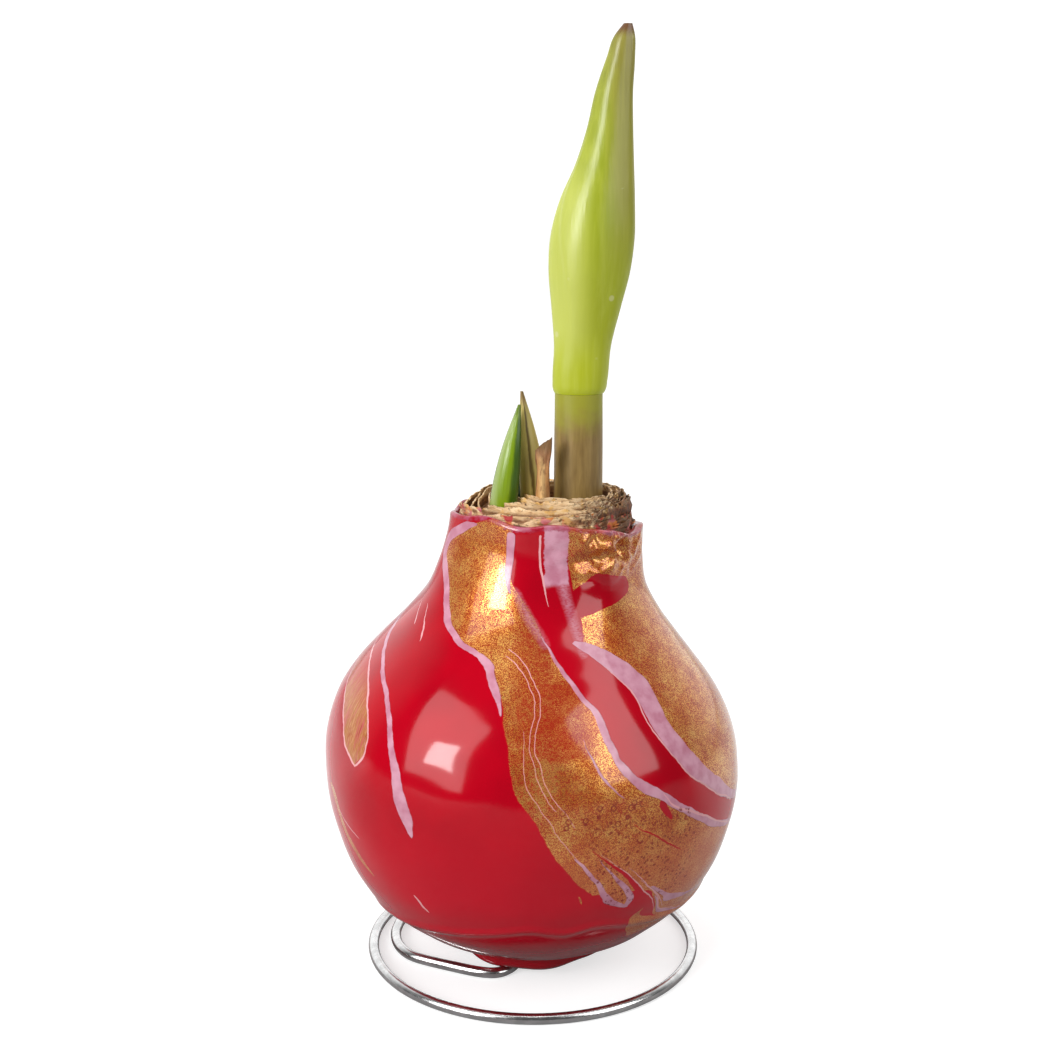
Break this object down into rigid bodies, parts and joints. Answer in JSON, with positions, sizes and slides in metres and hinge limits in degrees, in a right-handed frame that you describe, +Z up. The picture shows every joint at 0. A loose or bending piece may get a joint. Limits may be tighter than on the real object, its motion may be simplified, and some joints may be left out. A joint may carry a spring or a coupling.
{
  "type": "waxed amaryllis bulb",
  "caption": "Waxed flower bulb with a marbled coat, a budding stalk and young leaves, standing on a wire ring.",
  "frame": {"origin": "on the surface the stand lies on, under the middle of the part's box", "axes": "+Z up along the bulb and its stalk, -Y towards the front seen in the picture, +X to its right"},
  "size_m": [0.088, 0.0872, 0.1946],
  "materials": {
    "wax": "glossy red wax marbled with gold and lilac",
    "dry_scale": "dry papery bulb scale",
    "stalk": "satin brown-green stalk",
    "bud": "satin yellow-green bract",
    "leaf_green": "glossy green leaf",
    "leaf_olive": "satin olive leaf",
    "leaf_dark": "shaded blue-green leaf",
    "dry_leaf": "withered papery leaf",
    "wire": "bright drawn wire"
  },
  "bodies": {
    "root": {"wax_coat": "wax", "bulb": "dry_scale", "flower_stalk": "stalk", "flower_bud": "bud", "leaf_left": "leaf_green", "leaf_right": "leaf_olive", "leaf_inner": "leaf_dark", "dry_leaf": "dry_leaf", "wire_stand": "wire"}
  },
  "joints": []
}
